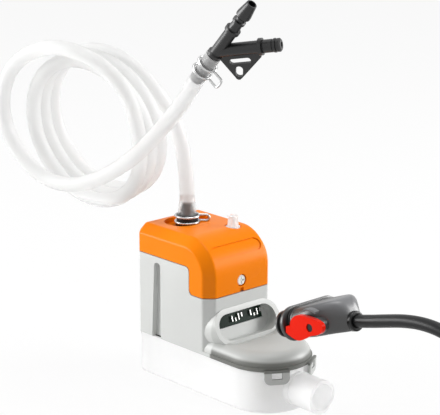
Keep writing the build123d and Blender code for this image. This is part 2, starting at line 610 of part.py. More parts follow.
contact_half = socket_half_length - 4 - seat_gap
contact_face = Pos(-window_up, 0) * Rectangle(contact_window - 2 * seat_gap, 2 * contact_half)
parts["contact_board"] = extrude(socket_plane(-9.4) * contact_face, 1.6)
contact_rows = [y for start in (-6, 9) for y in (start, start + 2.6, start + 5.2, start + 7.8)]
contacts = extrude(socket_plane(-7.75) * Pos(-window_up + 2.0, 5.4) * Rectangle(1.2, 25), 0.3)
for y in contact_rows:
    contacts += extrude(socket_plane(-7.75) * Pos(-window_up, y) * Rectangle(5.0, 1.3), 0.9)
parts["board_contacts"] = contacts

# ---- plug ----
plug_face = socket_origin + socket_out * plug_out
plug_side = Plane(plug_face, x_dir=socket_out, z_dir=(0, -1, 0))


def plug_section(out, half_length, radius, up=0.0):
    """Flat obround across the plug's axis."""
    return socket_plane(plug_out + out, up) * stadium(half_length, radius)


housing = extrude(plug_section(0, plug_half_length, plug_radius), plug_flange)
housing = fillet(housing.faces().sort_by(Axis.X)[-1].edges(), 0.8)
housing += extrude(plug_section(-nose_length, nose_half_length, nose_radius), nose_length + 1)
body = loft([plug_section(plug_flange - 0.2, 22.3, 8.8), plug_section(12, 21.5, 8.8, -0.3),
             plug_section(24, 17.0, 8.0, -1.4), plug_section(31, 9.0, 6.6, -2.6)])
body -= plug_side * Pos(9.5, 0, 20.1 + 5) * Box(13.6, 30, 10)
ear_place = plug_side * Pos(pivot_out, pivot_up, 0)
body += ear_place * Pos(0, 0, 9) * Cylinder(ear_radius, -ear_face - 9, align=(Align.CENTER, Align.CENTER, Align.MIN))
body -= ear_place * Pos(0, 0, 19.9) * Cylinder(9.4, 10, align=(Align.CENTER, Align.CENTER, Align.MIN))
for low_turn, high_turn in ((-34, 24), (104, 237), (228, 330)):
    corners = [(20 * cos(radians(turn)), 20 * sin(radians(turn))) for turn in (low_turn, high_turn)]
    middle_turn = radians((low_turn + high_turn) / 2)
    gap = make_face(Polyline((0, 0), corners[0], (30 * cos(middle_turn), 30 * sin(middle_turn)), corners[1],
                             close=True))
    body -= ear_place * Pos(0, 0, 19.9) * extrude(gap, 10)
body += plug_side * Pos(25, 4.4, -10) * Box(6, 6, 4)
for a in (3.6, 5.6, 7.6):
    body += plug_side * Pos(a, 8.6, 0) * Box(0.9, 1.4, 24)
housing += body
housing -= extrude(plug_section(-nose_length - 1, nose_half_length - 1.6, nose_radius - 1.6), nose_length)
housing -= extrude(plug_section(28.5, 5.0, 4.8, -2.4), 4)
housing -= ear_place * Pos(0, 0, 14) * Cylinder(lever_hole + 0.2, 7, align=(Align.CENTER, Align.CENTER, Align.MIN))
parts["plug_housing"] = housing
pin_radius = lever_hole - running_gap
parts["lever_pin"] = ear_place * Pos(0, 0, 14.3) * rod(pin_radius, 7.9)

seal = extrude(plug_section(-0.4 - 5.0, nose_half_length + 0.9, nose_radius + 0.9), 5.0)
seal -= extrude(plug_section(-8, nose_half_length + 0.1, nose_radius + 0.1), 10)
lips = [extrude(plug_section(a, nose_half_length + 1.6, nose_radius + 1.6)
                - plug_section(a, nose_half_length + 0.3, nose_radius + 0.3), 0.9) for a in (-5.0, -2.3)]
parts["plug_seal"] = seal + lips[0] + lips[1]
plug_contact_block = extrude(plug_section(-nose_length + 0.9, nose_half_length - 2.2, nose_radius - 2.2), 4.4)
for y in contact_rows:
    plug_contact_block -= socket_plane(plug_out - nose_length, 2.6, y) * Box(3.0, 1.0, 6.0)
parts["plug_contacts"] = plug_contact_block

lever_outline = [(4.2, 0.2), (7.4, 0.1), (8.9, 3.3), (14.4, 5.9), (22.2, 4.7), (29.0, 2.4), (33.1, -1.4),
                 (32.1, -3.9), (22.6, -6.2), (12.0, -8.3), (7.3, -6.4), (3.1, -3.3)]
lever_face = make_face(Spline(*lever_outline[1:], periodic=False) + Polyline(lever_outline[-1], lever_outline[0],
                                                                            lever_outline[1]))
lever = plug_side * Pos(0, 0, 20.2) * extrude(lever_face, lever_thickness)
lever -= ear_place * Pos(0, 0, 15) * Cylinder(lever_hole, 20)
parts["lock_lever"] = lever

gland_tilt_angle = radians(gland_tilt)
gland_way = Vector(cos(gland_tilt_angle), 0, sin(gland_tilt_angle))
gland_center = plug_face + socket_out * gland_out + socket_up * gland_up
gland_start = gland_center - gland_way * gland_length / 2
gland_end = gland_center + gland_way * gland_length / 2
gland_place = Plane(gland_start, x_dir=(0, 1, 0), z_dir=gland_way)
boot = extrude(plug_section(28.8, 4.7, 4.5, -2.4), 2.8)
boot += loft([plug_section(31.3, 6.3, 5.4, -2.6),
             Plane(gland_start - gland_way * 0.2, x_dir=(0, 1, 0), z_dir=gland_way) * Circle(4.6)])
boot -= Plane(gland_start - gland_way * 0.2, x_dir=(0, 1, 0), z_dir=gland_way) * Pos(0, 0, -2) * Cylinder(
    cable_radius, 5, align=(Align.CENTER, Align.CENTER, Align.MIN))
parts["plug_boot"] = boot
ring = Cylinder(gland_radius, gland_length, align=(Align.CENTER, Align.CENTER, Align.MIN))
ring = fillet(ring.edges(), 1.0)
parts["gland_ring"] = gland_place * (ring - Cylinder(cable_radius + 0.3, 30))

# ---- lead ----
cable_start = gland_start - gland_way * 1.8
cable_points = [tuple(cable_start), (107.7, 0, 68.8), (120.0, 0, 72.2), (133.2, 0, 75.7), (146.1, 0, 77.6),
                (159.6, 0, 77.2), (174.0, 1, 73.0), (187.0, 6, 66.0), (198.0, 15, 56.5), (205.0, 28, 46.5),
                (208.5, 43, 37.0), (209.5, 57, 29.5), (207.8, 71, 23.5), (202.5, 84.5, 19.8),
                (194.5, 96.0, 18.8)]
parts["power_cable"] = cord(cable_points, cable_radius, "lead")
lead_coil_center = (170.0, 61.5)
lead_coil_radius = 38.0
lead_lanes = 2
lead_layers = 3
lead_coil_half = lead_lanes * cable_radius
lead_coil = rod(lead_coil_radius + lead_coil_half, 2 * lead_layers * cable_radius,
                Pos(*lead_coil_center, 0.3), lead_coil_radius - lead_coil_half)
parts["cable_coil"] = lead_coil - parts["power_cable"]

os.makedirs("parts", exist_ok=True)
for name, solid in parts.items():
    print(name, len(solid.solids()), round(solid.volume, 1), solid.is_valid)
    export_step(solid, f"parts/{name}.step")
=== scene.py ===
import json
from math import atan2, cos, pi, radians, sin

import bpy
import numpy as np
from mathutils import Matrix, Vector


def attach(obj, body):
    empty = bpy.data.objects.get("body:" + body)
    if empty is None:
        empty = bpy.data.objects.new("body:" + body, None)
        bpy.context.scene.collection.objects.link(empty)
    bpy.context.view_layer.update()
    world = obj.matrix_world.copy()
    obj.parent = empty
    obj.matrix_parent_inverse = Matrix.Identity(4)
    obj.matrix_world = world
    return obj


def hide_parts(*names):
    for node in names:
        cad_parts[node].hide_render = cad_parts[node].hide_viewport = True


# Condensate pump. Metres, in the CAD model's own frame: X runs from the tower towards the inlet,
# Z is up, and x = 0 lies just behind the tower's front face.

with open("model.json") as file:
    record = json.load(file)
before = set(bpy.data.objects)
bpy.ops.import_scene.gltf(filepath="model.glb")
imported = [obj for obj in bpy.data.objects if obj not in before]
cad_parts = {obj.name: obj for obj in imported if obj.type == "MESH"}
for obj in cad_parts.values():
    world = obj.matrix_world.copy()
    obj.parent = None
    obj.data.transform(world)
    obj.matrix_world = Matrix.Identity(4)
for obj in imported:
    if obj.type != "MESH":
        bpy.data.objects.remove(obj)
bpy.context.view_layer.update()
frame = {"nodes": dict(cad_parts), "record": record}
mm = 0.001


class Signal:
    # A node's output that can be used in sums, as if it were a number at each point of the surface.
    def __init__(self, tree, socket):
        self.tree = tree
        self.socket = socket

    def node(self, kind, inputs=(), output=0, **settings):
        made = self.tree.nodes.new(kind)
        for key, value in settings.items():
            setattr(made, key, value)
        for key, value in dict(inputs).items():
            if isinstance(value, Signal):
                self.tree.links.new(value.socket, made.inputs[key])
            else:
                made.inputs[key].default_value = value
        return Signal(self.tree, made.outputs[output])

    def maths(self, operation, first, second=0.0, third=0.0):
        return self.node("ShaderNodeMath", {0: first, 1: second, 2: third}, operation=operation)

    def __add__(self, other):
        return self.maths("ADD", self, other)

    def __radd__(self, other):
        return self.maths("ADD", other, self)

    def __mul__(self, other):
        return self.maths("MULTIPLY", self, other)

    def most(self, other):
        return self.maths("MAXIMUM", self, other)

    def fade(self, low, high, start=0.0, end=1.0):
        # Smooth step from start to end as the signal goes from low to high.
        return self.node("ShaderNodeMapRange", {"Value": self, "From Min": low, "From Max": high,
                                                "To Min": start, "To Max": end},
                         interpolation_type="SMOOTHSTEP")

    def noise(self, scale, detail=2.0, roughness=0.5):
        return self.node("ShaderNodeTexNoise", {"Vector": self, "Scale": scale, "Detail": detail,
                                                "Roughness": roughness})

    def along(self, axis):
        return self.node("ShaderNodeSeparateXYZ", {"Vector": self}, output="XYZ".index(axis))

    def stretched(self, x, y, z):
        return self.node("ShaderNodeMapping", {"Vector": self, "Scale": (x, y, z)})


def colorMix(factor, low, high):
    mix = factor.tree.nodes.new("ShaderNodeMix")
    mix.data_type = "RGBA"
    factor.tree.links.new(factor.socket, mix.inputs[0])
    for slot, value in ((6, low), (7, high)):
        if isinstance(value, Signal):
            factor.tree.links.new(value.socket, mix.inputs[slot])
        else:
            mix.inputs[slot].default_value = (*value, 1.0)
    return Signal(factor.tree, mix.outputs[2])


def material(name, draw, **constants):
    # New principled material. draw(place) returns what varies over the surface, by socket name.
    made = bpy.data.materials.new(name)
    made.use_nodes = True
    tree = made.node_tree
    shader = tree.nodes["Principled BSDF"]
    for key, value in constants.items():
        shader.inputs[key.replace("_", " ")].default_value = value
    coords = tree.nodes.new("ShaderNodeTexCoord")
    place = Signal(tree, coords.outputs["Object"])
    for key, signal in draw(place).items():
        if key == "Bump":
            height, strength, distance = signal
            bumped = place.node("ShaderNodeBump", {"Height": height, "Strength": strength,
                                                   "Distance": distance})
            tree.links.new(bumped.socket, shader.inputs["Normal"])
        else:
            tree.links.new(signal.socket, shader.inputs[key])
    return made


black = (0.007, 0.007, 0.0075)


def mouldedPlastic(color, shade=0.94, roughness=0.42, grain=2600, relief=0.05):
    # Moulded plastic with a spark-eroded grain and slow changes of tone and gloss.
    def draw(place):
        cloud = place.noise(24, 3)
        speck = place.noise(grain, 3, 0.6)
        tone = cloud.fade(0.3, 0.7) * 0.8 + speck.fade(0.35, 0.65) * 0.2
        darker = tuple(channel * shade for channel in color)
        return {"Base Color": colorMix(tone, darker, color),
                "Roughness": cloud.fade(0.3, 0.7, roughness - 0.03, roughness + 0.05),
                "Bump": (speck, relief, 0.0004)}
    return draw


def frosted(low, high, roughness):
    # Translucent plastic, milky and smooth.
    def draw(place):
        cloud = place.noise(12, 2)
        return {"Base Color": colorMix(cloud.fade(0.3, 0.7), low, high),
                "Roughness": cloud.fade(0.3, 0.7, roughness - 0.02, roughness + 0.03)}
    return draw


# Heights and reaches in metres between which the hose's clearness, the plug's painted highlight and the
# base's painted shade change over.
tones = {
    "hoseClears": (0.1055, 0.1085),
    # where the painted highlight on top of the plug fades in
    "plugHighlightHeight": (0.068, 0.079),
    "plugHighlightReach": (0.068, 0.088),
    # where the painted shade on the base and on its steep rim fades in
    "footShadeReach": (0.0056, 0.0075),
    "rimShadeTop": (0.0305, 0.0325),
    "rimShadeBottom": (0.0258, 0.0264),
}


def clearHose(place):
    # Clear plastic, clearest where it is stretched over the nozzle.
    made = frosted((0.91, 0.91, 0.905), (0.95, 0.95, 0.945), 0.3)(place)
    made["Alpha"] = place.along("Z").fade(*tones["hoseClears"], 0.3, 1.0)
    return made


def plugPlastic(place):
    # Black moulded plastic with a grey painted highlight on top towards the lead.
    made = mouldedPlastic(black, shade=0.8, roughness=0.38, relief=0.02)(place)
    paintedHighlight = place.along("Z").fade(*tones["plugHighlightHeight"])
    paintedHighlight = paintedHighlight * place.along("X").fade(*tones["plugHighlightReach"])
    # Painted highlight: lighter grey on the upper part of the plug towards the lead.
    made["Base Color"] = colorMix(paintedHighlight, made["Base Color"], (0.13, 0.133, 0.14))
    return made


def shellPlastic(place):
    # Grey moulded plastic with painted shade: darker over the base in front of the tower, and darker still in
    # a band on the base's steep rim.
    base = mouldedPlastic((0.60, 0.61, 0.595))(place)
    height = place.along("Z")
    footShade = place.along("X").fade(*tones["footShadeReach"])
    rimShade = height.fade(*tones["rimShadeTop"], 1.0, 0.0) * height.fade(*tones["rimShadeBottom"]) * footShade
    # Painted shade over the base in front of the tower.
    base["Base Color"] = colorMix(footShade, base["Base Color"], (0.46, 0.47, 0.455))
    # Dark painted shade band on the base's steep rim.
    base["Base Color"] = colorMix(rimShade * 0.8, base["Base Color"], (0.07, 0.072, 0.06))
    return base


def metal(color, roughness=0.25, stretch=(1, 1, 1)):
    # Drawn or plated metal with fine streaks.
    def draw(place):
        streak = place.stretched(*stretch).noise(1800, 2)
        darker = tuple(channel * 0.86 for channel in color)
        return {"Base Color": colorMix(streak.fade(0.3, 0.7), darker, color),
                "Roughness": streak.fade(0.3, 0.7, roughness - 0.05, roughness + 0.08)}
    return draw


def dress(node, made):
    mesh = frame["nodes"][node]
    mesh.data.materials.clear()
    mesh.data.materials.append(made)


camera = {
    "place": Vector((711.457, -658.670, 378.848)) * mm,
    "back": Vector((0.71375, -0.64810, 0.26556)),
    "right": Vector((0.67224, 0.74034, 0.0)),
    "focal": 1710.4,         # in widths of one image point
    "imageWidth": 440,
    "sensor": 36.0,
}
back = camera["back"].normalized()
right = camera["right"].normalized()
up = back.cross(right)
cameraData = bpy.data.cameras.new("camera")
cameraData.sensor_width = camera["sensor"]
cameraData.lens = camera["focal"] / camera["imageWidth"] * camera["sensor"]
cameraData.clip_start = 0.05
cameraObject = bpy.data.objects.new("camera", cameraData)
cameraTurn = Matrix((right, up, back)).transposed().to_4x4()
cameraObject.matrix_world = Matrix.Translation(camera["place"]) @ cameraTurn
bpy.context.collection.objects.link(cameraObject)
bpy.context.scene.camera = cameraObject
print("camera")


# Finishes by material slot, with two more for the plug and the fitting.
finishes = {
    # Clear plastic with a faint white painted glow from its emission.
    "clear_plastic": material("clearPlastic", frosted((0.93, 0.93, 0.93), (0.97, 0.97, 0.97), 0.5),
                              Transmission_Weight=0.55, IOR=1.25, Emission_Color=(1, 1, 1, 1),
                              Emission_Strength=0.05),
    "clear_hose": material("clearHose", clearHose, Transmission_Weight=0.62, IOR=1.22),
    "grey_plastic": material("greyPlastic", shellPlastic),
    "orange_plastic": material("orangePlastic",
                               mouldedPlastic((0.9, 0.22, 0.001), shade=0.96, roughness=0.3, relief=0.02),
                               Specular_IOR_Level=0.1),
    "black_plastic": material("blackPlastic", mouldedPlastic(black, shade=0.8, roughness=0.3),
                              Specular_IOR_Level=0.35),
    "plug": material("plugPlastic", plugPlastic, Specular_IOR_Level=1.0),
    "fitting": material("fittingPlastic", mouldedPlastic(black, shade=0.8, roughness=0.36, relief=0.02),
                        Specular_IOR_Level=0.55),
    "red_plastic": material("redPlastic",
                            mouldedPlastic((0.78, 0.012, 0.001), roughness=0.3, relief=0.02),
                            Specular_IOR_Level=0.08),
    "white_plastic": material("whitePlastic", mouldedPlastic((0.85, 0.85, 0.83), roughness=0.4)),
    "black_rubber": material("blackRubber",
                             mouldedPlastic((0.008, 0.008, 0.008), shade=0.8, roughness=0.45),
                             Specular_IOR_Level=0.35),
    "grey_cable": material("greyCable",
                           mouldedPlastic((0.012, 0.0125, 0.013), shade=0.85, roughness=0.36,
                                          relief=0.02),
                           Specular_IOR_Level=0.25),
    "steel": material("steel", metal((0.6, 0.6, 0.6)), Metallic=1.0),
    "zinc": material("zinc", metal((0.55, 0.56, 0.57), 0.35), Metallic=1.0),
    "copper_winding": material("copperWinding", metal((0.6, 0.22, 0.08), 0.3, (1, 1, 6)), Metallic=1.0),
    "board_green": material("boardGreen",
                            mouldedPlastic((0.003, 0.022, 0.01), shade=0.5, roughness=0.3),
                            Specular_IOR_Level=0.15),
    "silver_contact": material("silverContact", metal((0.7, 0.7, 0.68), 0.25), Metallic=1.0),
    "foam": material("foam", mouldedPlastic((0.75, 0.75, 0.7), shade=0.85, roughness=0.8, grain=900,
                                            relief=0.3)),
    "magnet": material("magnet", mouldedPlastic((0.05, 0.05, 0.05), roughness=0.6)),
}
nodeSlots = {entry["node"]: entry["material_slot"] for entry in frame["record"]["subparts"]}
for node, slotName in nodeSlots.items():
    dress(node, finishes[slotName])
print("finishes")


def cordCurve(name, points, radius, finish):
    # Round cord on one smooth line with the points as its control points, in millimetres.
    data = bpy.data.curves.new(name, "CURVE")
    data.dimensions = "3D"
    spline = data.splines.new("NURBS")
    spline.points.add(len(points) - 1)
    spline.points.foreach_set("co", np.c_[np.array(points) * mm, np.ones(len(points))].ravel())
    spline.order_u = 3
    spline.use_endpoint_u = True
    spline.resolution_u = 8
    data.bevel_depth = radius * mm
    data.bevel_resolution = 7
    data.use_fill_caps = True
    data.materials.append(finish)
    made = bpy.data.objects.new(name, data)
    bpy.context.collection.objects.link(made)
    return made


def lineLength(curve):
    # Length of a curve's own line, in metres.
    bare = curve.data.copy()
    bare.bevel_depth = 0.0
    holder = bpy.data.objects.new("measure", bare)
    bpy.context.collection.objects.link(holder)
    mesh = bpy.data.meshes.new_from_object(holder.evaluated_get(bpy.context.evaluated_depsgraph_get()))
    spots = np.empty(len(mesh.vertices) * 3)
    mesh.vertices.foreach_get("co", spots)
    steps = np.diff(spots.reshape(-1, 3), axis=0)
    bpy.data.objects.remove(holder)
    bpy.data.meshes.remove(mesh)
    bpy.data.curves.remove(bare)
    return float(np.sqrt((steps ** 2).sum(axis=1)).sum())


hose = {
    "diameter": 9.0,
    "exit": (-43.5, 0, 93.45),
    "stem": [(-43.5, 0, 93.45), (-43.4, 0, 111), (-42.3, -2, 126), (-41.6, -5, 141), (-42.8, -9, 155),
             (-46.2, -14, 168)],
    "coilCenter": (-86.7, -22.8, 155.1),
    "coilYaw": radians(9.9),
    "coilLean": radians(-11.1),
    "turnRadius": 45.2,
    "turnPitch": 8.9,
    "turns": (0.085, 2.95),
    "pointsPerTurn": 14,
    "end": [(45.5, 14, 27), (41, 34, 28), (27, 48, 29), (7, 55, 30), (-14, 55, 31), (-34, 47.5, 32.5),
            (-49, 33.5, 34), (-56, 15, 35.5), (-54.5, -3, 36.5), (-45, -19, 37), (-29, -29.5, 37.5),
            (-9, -31, 38), (12, -25, 38), (33, -14, 38.2), (54, 0.5, 38.5), (74, 18.5, 39), (92, 36, 39)],
}
fitting = {"origin": Vector((42.0, -52.8, 216.9)), "run": Vector((0.6712, 0.0429, 0.7409)).normalized()}
yaw, lean = hose["coilYaw"], hose["coilLean"]
coilOut = Vector((sin(yaw) * cos(lean), -cos(yaw) * cos(lean), sin(lean)))
coilAlong = Vector((cos(yaw), sin(yaw), 0))
coilUp = coilOut.cross(coilAlong)


def inCoil(along, up, out):
    return tuple(Vector(hose["coilCenter"]) + coilAlong * along + coilUp * up + coilOut * out)


route = list(hose["stem"])
first, last = hose["turns"]
count = round((last - first) * hose["pointsPerTurn"])
for i in range(count + 1):
    turn = first + (last - first) * i / count
    angle = 2 * pi * turn
    route.append(inCoil(hose["turnRadius"] * cos(angle), hose["turnRadius"] * sin(angle),
                        hose["turnPitch"] * turn))
route += [inCoil(*point) for point in hose["end"]]
route += [tuple(fitting["origin"] - fitting["run"] * reach) for reach in (22, 3.6)]
hoseCurve = cordCurve("discharge_hose", route, hose["diameter"] / 2, finishes["clear_hose"])
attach(hoseCurve, "pump")
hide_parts("hose_stem", "hose_coil", "hose_end")
hoseLength = lineLength(hoseCurve)
print("hose", round(hoseLength, 3))

thin = 0.01  # radius in millimetres that stands for a point on the axis


def facets(name, spots, faces):
    # Mesh piece from points in millimetres.
    data = bpy.data.meshes.new(name)
    data.from_pydata([tuple(spot) for spot in np.asarray(spots) * mm], [], faces)
    data.shade_smooth()
    made = bpy.data.objects.new(name, data)
    bpy.context.collection.objects.link(made)
    return made


def skin(rings):
    # Points and faces of a closed skin through rings of equal count, with a flat cap at each end.
    count, rows = len(rings[0]), len(rings)
    faces = []
    for low in range(0, (rows - 1) * count, count):
        high = low + count
        for j in range(count):
            beside = (j + 1) % count
            faces.append((low + j, low + beside, high + beside, high + j))
    faces.append(tuple(range(count))[::-1])
    faces.append(tuple(range((rows - 1) * count, rows * count)))
    return np.concatenate(rings), faces


def joined(name, skins):
    # One mesh of several closed skins.
    spots, faces, start = [], [], 0
    for part, partFaces in skins:
        spots.append(part)
        faces += [tuple(corner + start for corner in face) for face in partFaces]
        start += len(part)
    return facets(name, np.concatenate(spots), faces)


def roundedRing(place, halfWidth, high, low, corner, count=48):
    # Rounded rectangle in a plane across the axis: x = (w - c) sign(cos t) + c cos t, and so in height.
    t = (np.arange(count) + 0.5) * 2 * pi / count
    halfHeight = (high - low) / 2
    corner = min(corner, halfWidth, halfHeight)
    across = np.sign(np.cos(t)) * (halfWidth - corner) + corner * np.cos(t)
    above = np.sign(np.sin(t)) * (halfHeight - corner) + corner * np.sin(t) + (high + low) / 2
    return place["origin"] + np.outer(across, place["across"]) + np.outer(above, place["above"])


def lathe(axis, profile, count=40):
    # Skin of (radius, reach) pairs turned about an axis.
    t = np.arange(count) * 2 * pi / count
    side = np.cross(axis["way"], (0.0, 0.0, 1.0))
    side /= np.linalg.norm(side)
    other = np.cross(axis["way"], side)
    wheel = np.outer(np.cos(t), side) + np.outer(np.sin(t), other)
    return skin([axis["origin"] + np.array(axis["way"]) * reach + wheel * max(radius, thin)
                 for radius, reach in profile])


def sharpen(piece, angle):
    # Smooth shading that breaks at real edges.
    modifier = piece.modifiers.new("edges", "EDGE_SPLIT")
    modifier.split_angle = radians(angle)


# Plug, in its own axes: out away from the socket, above and across.
socketTilt = radians(17)
plugOut = np.array([cos(socketTilt), 0, sin(socketTilt)])
socketFace = np.array([11.0, 0, 43.5])
plug = {
    "out": plugOut,
    "above": np.array([-sin(socketTilt), 0, cos(socketTilt)]),
    "across": np.array([0.0, 1.0, 0.0]),
    "face": socketFace + 53.5 * plugOut,
    "pivot": (22.7, -1.6),
    # out from the flange's face, half width, top, bottom, corner
    "shell": [(1.8, 19.6, 8.6, -8.6, 8.6), (2.6, 19.7, 8.7, -8.6, 8.4), (8, 19.8, 8.9, -8.6, 7.6),
              (15, 19.8, 9.4, -8.6, 6.4), (21, 17.8, 9.9, -8.4, 5.6), (26, 14.0, 10.3, -8.2, 5.0),
              (30, 10.4, 10.3, -8.4, 4.6), (33, 7.6, 9.0, -8.6, 4.4), (35, 6.0, 5.4, -8.6, 4.4),
              (36.0, 5.0, 2.0, -8.2, 4.2)],
    "flange": [(0.0, 22.9, 9.2, -9.2, 9.2), (0.25, 23.4, 9.7, -9.7, 9.7), (0.8, 23.6, 9.9, -9.9, 9.9),
               (1.6, 23.6, 9.9, -9.9, 9.9), (2.15, 23.4, 9.7, -9.7, 9.7), (2.4, 22.9, 9.2, -9.2, 9.2)],
    "nose": [(-5.6, 19.8, 6.2, -6.2, 6.2), (0.6, 19.8, 6.2, -6.2, 6.2)],
    "ribs": (3.5, 5.6, 7.7),
    "ribHalf": 0.4,
    "ribSection": (20.0, 9.3, -8.8, 8.7),
    "frontLip": [(-6.5, 20.4, 6.8, -6.8, 6.8), (-6.2, 21.2, 7.6, -7.6, 7.6), (-5.0, 21.3, 7.7, -7.7, 7.7),
                 (-4.7, 20.6, 7.0, -7.0, 7.0), (-4.6, 19.9, 6.3, -6.3, 6.3)],
    "backLip": [(-2.4, 19.9, 6.3, -6.3, 6.3), (-2.0, 20.9, 7.3, -7.3, 7.3), (-1.2, 20.9, 7.3, -7.3, 7.3),
                (-0.8, 19.9, 6.3, -6.3, 6.3)],
    # the boss behind the lever as radius and depth, and the guard above it as reach and depth
    "boss": [(5.2, 12.0), (5.2, 19.4), (4.8, 19.8), (0, 19.8)],
    "guard": [(9.5, 19.0), (9.5, 22.2), (9.9, 22.6), (10.4, 22.6), (10.8, 22.2), (10.8, 19.0)],
    "guardTurns": (52, 103),
}


def plugAt(out):
    # Axes of a section that lies this far from the flange's face.
    return {"origin": plug["face"] + plug["out"] * out, "across": plug["across"], "above": plug["above"]}


def plugLoft(rows, count=48):
    # Skin through the sections of the plug.
    return skin([roundedRing(plugAt(out), *section, count) for out, *section in rows])


shellPiece = joined("plugShell", [plugLoft(plug["shell"])])
smooth = shellPiece.modifiers.new("smooth", "SUBSURF")
smooth.levels = smooth.render_levels = 2
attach(shellPiece, "plug")

# Flange, nose, ribs, boss and guard make the trim.
trim = [plugLoft(plug["flange"]), plugLoft(plug["nose"])]
for out in plug["ribs"]:
    trim.append(plugLoft([(out + side * plug["ribHalf"], *plug["ribSection"]) for side in (-1, 1)]))
pivotOut, pivotUp = plug["pivot"]
pivotAxis = {"origin": plug["face"] + plug["out"] * pivotOut + plug["above"] * pivotUp,
             "way": (0.0, -1.0, 0.0)}
trim.append(lathe(pivotAxis, plug["boss"]))
guardRings = []
for angle in np.radians(np.linspace(*plug["guardTurns"], 18)):
    wayOut = plug["out"] * cos(angle) + plug["above"] * sin(angle)
    guardRings.append(np.array([pivotAxis["origin"] + wayOut * reach + np.array((0, -depth, 0))
                                for reach, depth in plug["guard"]]))
trim.append(skin(guardRings))
trimPiece = joined("plugTrim", trim)
sharpen(trimPiece, 35)
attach(trimPiece, "plug")
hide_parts("plug_housing", "plug_boot")
lips = joined("plugLips", [plugLoft(plug["frontLip"]), plugLoft(plug["backLip"])])
sharpen(lips, 40)
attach(lips, "plug")
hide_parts("plug_seal")
for piece in (shellPiece, trimPiece, lips):
    piece.data.materials.append(finishes["plug"])
print("plug")

# Hose stretched over the nozzle's barb.
# Radius and height of its outside.
flareProfile = [(0, 98.55), (5.5, 98.55), (5.75, 99.2), (5.6, 101.2), (5.3, 103), (5.5, 104.2), (5.1, 106),
                (4.7, 108.4), (4.45, 110), (0, 110)]
nozzleX = hose["exit"][0]
t = np.arange(40) * 2 * pi / 40
flareRings = []
for radius, height in flareProfile:
    radius = max(radius, thin)
    flareRings.append(np.c_[nozzleX + radius * np.cos(t), radius * np.sin(t), np.full(40, height)])
flare = joined("hoseFlare", [skin(flareRings)])
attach(flare, "pump")
flare.data.materials.append(finishes["clear_hose"])

# Fitting: a straight run, and a branch at 45 degrees to it in the plane of both.
fittingBranch = Vector((0.860, 0.489, 0.147)).normalized()
fittingSide = fitting["run"].cross(fittingBranch).normalized()
runAxis = {"origin": np.array(fitting["origin"]), "way": tuple(fitting["run"])}
branchWay = (Matrix.Rotation(radians(45), 3, fittingSide) @ fitting["run"]).normalized()
branchAxis = {"origin": np.array(fitting["origin"]), "way": tuple(branchWay)}
fittingParts = {
    # radius and distance along the run, then along the branch
    "run": [(0, -24), (3.1, -24), (3.9, -20), (3.9, -19.6), (3.0, -19), (3.0, -14), (3.8, -10.6), (3.0, -10),
            (3.0, -3.3), (4.3, -3.3), (4.3, -1.6), (3.5, -1.2), (3.5, 15.6), (4.3, 16.0), (4.3, 18.0),
            (3.3, 18.2), (2.9, 23.0), (3.7, 23.4), (3.7, 24.8), (2.8, 25.2), (2.8, 26.8), (4.1, 28.2),
            (4.1, 29.6), (2.9, 37.4), (2.7, 37.6), (2.1, 37.6), (2.1, 27), (0, 27)],
    "branch": [(0, 1), (3.55, 1), (3.55, 23.4), (4.7, 23.7), (4.7, 25.6), (3.6, 25.6), (3.6, 26.6),
               (0, 26.6)],
    "cap": [(0, 25.7), (3.6, 25.7), (3.6, 31.2), (3.2, 31.4), (3.2, 32.0), (3.9, 32.2), (3.9, 33.2),
            (3.3, 33.4), (3.3, 33.9), (3.7, 34.1), (3.7, 35.4), (2.9, 36.1), (1.6, 36.2), (1.4, 35.4),
            (0, 35.4)],
    # along the branch and away from it, in the flat of the lug
    "lug": [(0.2, 0.5), (0.9, 5.7), (6.1, 17.2), (6.5, 18.3), (7.4, 18.9), (8.4, 18.8), (9.4, 18.1),
            (23.4, 5.9), (23.4, 0.5)],
    "lugThickness": 1.9,
    # middle, length, width and turn
    "slot": (11.3, 7.3, 12.3, 3.8, 0.0),
    "eye": (9.0, 13.9, 7.2, 4.3, 106.8),
}


def obround(middle, way, length, width, turn, count=10):
    # Corners of a slot with round ends, turned in its plane.
    spots = []
    for end, start in ((1, -90), (-1, 90)):
        for angle in np.radians(np.linspace(start, start + 180, count)):
            spots.append((end * (length - width) / 2 + width / 2 * cos(angle), width / 2 * sin(angle)))
    c, s = cos(radians(turn)), sin(radians(turn))
    return [(middle + c * a - s * b, way + s * a + c * b) for a, b in spots]


def plate(name, outlines, thickness, matrix):
    # Flat plate with holes: a filled curve with some thickness.
    data = bpy.data.curves.new(name, "CURVE")
    data.dimensions = "2D"
    data.fill_mode = "BOTH"
    data.extrude = thickness / 2 * mm
    data.bevel_depth = 0.15 * mm
    for outline in outlines:
        spline = data.splines.new("POLY")
        spline.points.add(len(outline) - 1)
        spline.points.foreach_set("co", [n for x, y in outline for n in (x * mm, y * mm, 0, 1)])
        spline.use_cyclic_u = True
    drawn = bpy.data.objects.new(name, data)
    bpy.context.collection.objects.link(drawn)
    mesh = bpy.data.meshes.new_from_object(drawn.evaluated_get(bpy.context.evaluated_depsgraph_get()))
    bpy.data.objects.remove(drawn)
    bpy.data.curves.remove(data)
    mesh.transform(matrix)
    made = bpy.data.objects.new(name, mesh)
    bpy.context.collection.objects.link(made)
    return made


lugX, lugZ = branchWay, fittingSide
lugY = lugZ.cross(lugX)
lugTurn = Matrix((lugX, lugY, lugZ)).transposed().to_4x4()
lugOutlines = [fittingParts["lug"], obround(*fittingParts["slot"]), obround(*fittingParts["eye"])]
lugPlace = Matrix.Translation(fitting["origin"] * mm) @ lugTurn
lug = plate("lug", lugOutlines, fittingParts["lugThickness"], lugPlace)
fittingPiece = joined("fittingTubes", [lathe(runAxis, fittingParts["run"]),
                                       lathe(branchAxis, fittingParts["branch"]),
                                       lathe(branchAxis, fittingParts["cap"])])
sharpen(fittingPiece, 30)
for piece in (lug, fittingPiece):
    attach(piece, "pump")
    piece.data.materials.append(finishes["fitting"])
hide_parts("fitting_body", "fitting_cap")
print("fitting")

